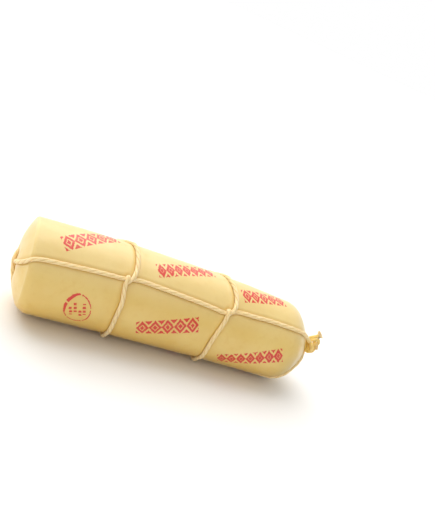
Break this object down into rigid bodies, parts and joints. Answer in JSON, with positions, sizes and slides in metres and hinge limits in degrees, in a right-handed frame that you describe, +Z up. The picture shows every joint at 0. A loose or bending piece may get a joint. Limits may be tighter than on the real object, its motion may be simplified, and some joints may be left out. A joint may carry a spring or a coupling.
{
  "type": "provolone cheese",
  "caption": "Whole provolone cheese: a long waxed log with one blunt and one rounded end, tied lengthwise and round with string and knotted at the rounded end.",
  "frame": {"origin": "under the middle of the bounding box, on the table that the cheese lies on", "axes": "+X along the log towards the knotted end, +Y to the back, +Z up"},
  "size_m": [0.4542, 0.1325, 0.1317],
  "materials": {
    "waxed_skin": "pale straw-yellow waxed cheese skin with a soft sheen",
    "twine": "cream twisted twine"
  },
  "bodies": {
    "root": {"cheese": "waxed_skin", "string_long_a": "twine", "string_long_b": "twine", "string_ring_left": "twine", "string_ring_right": "twine", "string_tie": "twine"}
  },
  "joints": []
}
